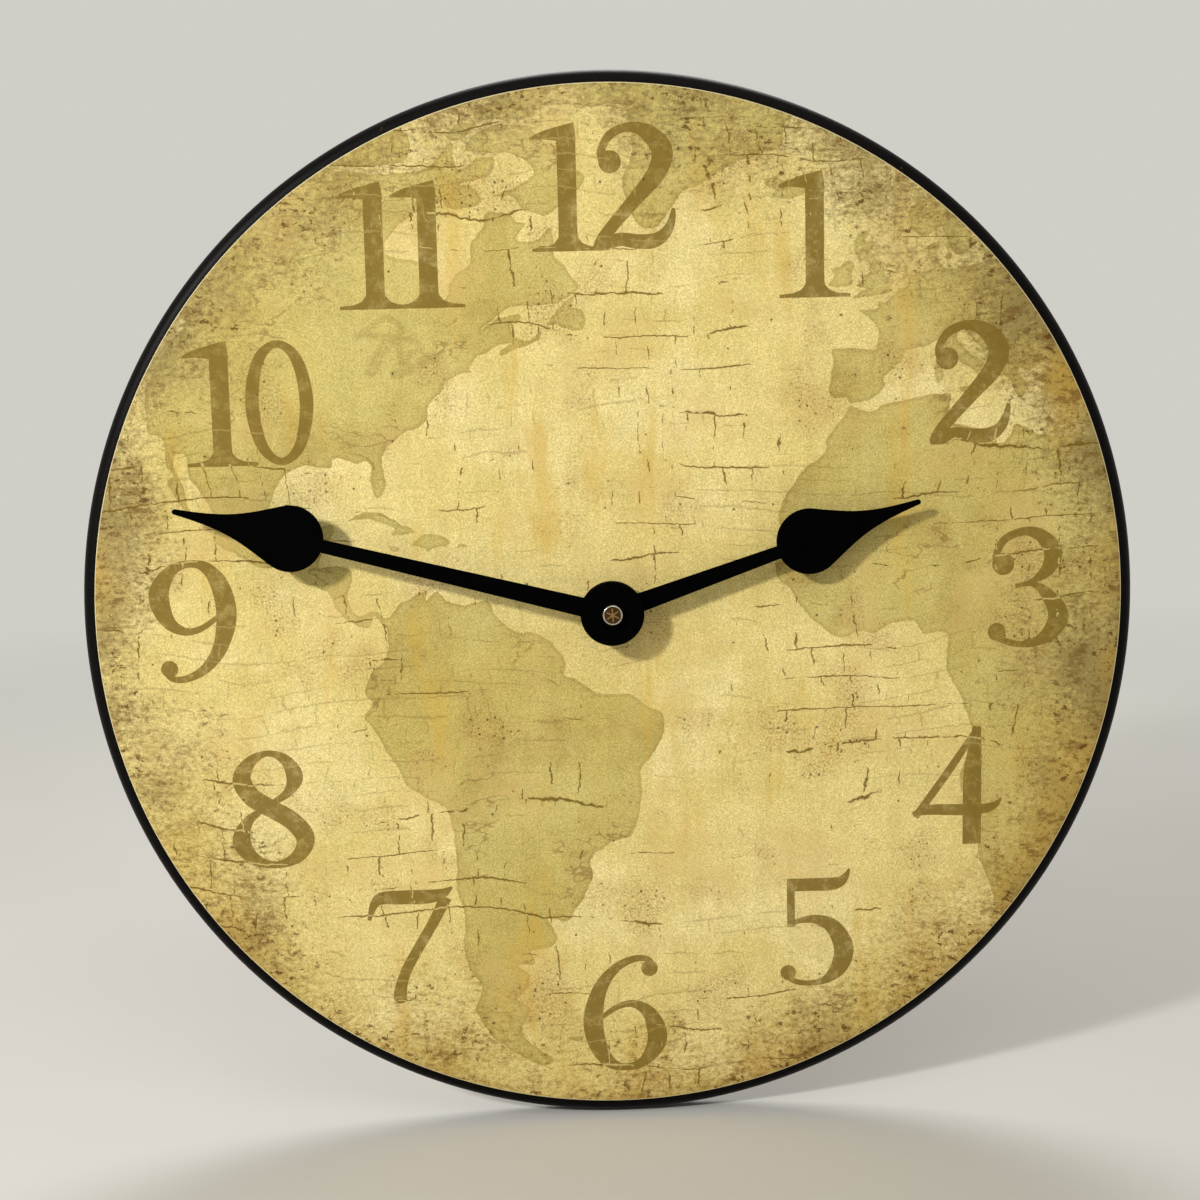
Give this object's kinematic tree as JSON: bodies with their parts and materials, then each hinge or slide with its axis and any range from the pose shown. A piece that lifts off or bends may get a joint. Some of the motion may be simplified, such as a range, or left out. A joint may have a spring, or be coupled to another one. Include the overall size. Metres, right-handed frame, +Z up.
{
  "type": "wall clock",
  "caption": "Round wall clock with a printed old world map dial, black spade hands and a battery quartz movement that hangs on a keyhole plate.",
  "frame": {"origin": "on the hands' axis, at the back face of the movement, which is the plane of the wall", "axes": "+Y from the dial into the wall, +Z up towards twelve, +X towards three as seen from the front"},
  "size_m": [0.3048, 0.0402, 0.3048],
  "materials": {
    "painted_board": "satin black paint",
    "printed_paper": "matt print",
    "hand_paint": "satin black paint on sheet aluminium",
    "nickel": "nickel plate",
    "brass": "turned",
    "steel": "zinc plate",
    "rubber": "matt",
    "case_plastic": "fine spark texture",
    "gear_plastic": "moulded",
    "magnet": "sintered",
    "copper_wire": "enamelled",
    "circuit_laminate": "solder mask",
    "chip_resin": "cast drop",
    "cell": "printed sleeve"
  },
  "bodies": {
    "clock": {"backboard": "painted_board", "dial_sheet": "printed_paper", "dial_washer": "brass", "hex_nut": "brass", "gasket": "rubber", "hanger_plate": "steel", "threaded_bushing": "brass", "movement_case": "case_plastic", "rear_cover": "case_plastic", "train_bridge": "gear_plastic", "stator": "steel", "coil_core": "steel", "coil_bobbin": "gear_plastic", "coil_winding": "copper_wire", "circuit_board": "circuit_laminate", "quartz_crystal": "nickel", "driver_chip": "chip_resin", "positive_contact": "nickel", "negative_contact": "nickel"},
    "minute": {"minute_hand": "hand_paint", "hand_nut": "nickel", "nut_insert": "brass", "minute_arbor": "brass", "clutch_washer": "steel"},
    "hour": {"hour_hand": "hand_paint", "hour_collet": "brass", "hour_wheel": "gear_plastic"},
    "intermediate": {"minute_wheel": "gear_plastic"},
    "knob": {"set_knob": "gear_plastic"},
    "seconds": {"seconds_wheel": "gear_plastic"},
    "third": {"third_wheel": "gear_plastic"},
    "centre": {"centre_wheel": "gear_plastic"},
    "fifth": {"fifth_wheel": "gear_plastic"},
    "rotor": {"rotor_pinion": "gear_plastic", "rotor_magnet": "magnet"},
    "cell": {"battery": "cell"}
  },
  "joints": [
    {"name": "minute_turn", "type": "hinge", "parent": "clock", "child": "minute", "pos_m": [0, 0, 0], "axis": [0, 1, 0], "continuous": true},
    {"name": "hour_turn", "type": "hinge", "parent": "clock", "child": "hour", "pos_m": [0, 0, 0], "axis": [0, 1, 0], "continuous": true},
    {"name": "intermediate_turn", "type": "hinge", "parent": "clock", "child": "intermediate", "pos_m": [-0.00945, 0, 0.00167], "axis": [0, 1, 0], "continuous": true},
    {"name": "knob_turn", "type": "hinge", "parent": "clock", "child": "knob", "pos_m": [-0.01938, 0, 0.00528], "axis": [0, 1, 0], "continuous": true},
    {"name": "seconds_turn", "type": "hinge", "parent": "clock", "child": "seconds", "pos_m": [0, 0, 0], "axis": [0, 1, 0], "continuous": true},
    {"name": "third_turn", "type": "hinge", "parent": "clock", "child": "third", "pos_m": [0.00997, 0, 0.00176], "axis": [0, 1, 0], "continuous": true},
    {"name": "centre_turn", "type": "hinge", "parent": "clock", "child": "centre", "pos_m": [0, 0, 0], "axis": [0, 1, 0], "continuous": true},
    {"name": "fifth_turn", "type": "hinge", "parent": "clock", "child": "fifth", "pos_m": [0.0028, 0, 0.01043], "axis": [0, 1, 0], "continuous": true},
    {"name": "rotor_turn", "type": "hinge", "parent": "clock", "child": "rotor", "pos_m": [0.00826, 0, 0.01502], "axis": [0, 1, 0], "continuous": true},
    {"name": "cell_slide", "type": "slide", "parent": "clock", "child": "cell", "axis": [0, 1, 0], "range_m": [0, 0.02]}
  ],
  "couplings": [
    {"joint": "hour_turn", "follows": "minute_turn", "ratio": 0.083333},
    {"joint": "intermediate_turn", "follows": "minute_turn", "ratio": -0.33333},
    {"joint": "knob_turn", "follows": "minute_turn", "ratio": 0.71429},
    {"joint": "fifth_turn", "follows": "seconds_turn", "ratio": -5},
    {"joint": "rotor_turn", "follows": "seconds_turn", "ratio": 30},
    {"joint": "third_turn", "follows": "seconds_turn", "ratio": -0.125},
    {"joint": "centre_turn", "follows": "seconds_turn", "ratio": 0.016667}
  ]
}
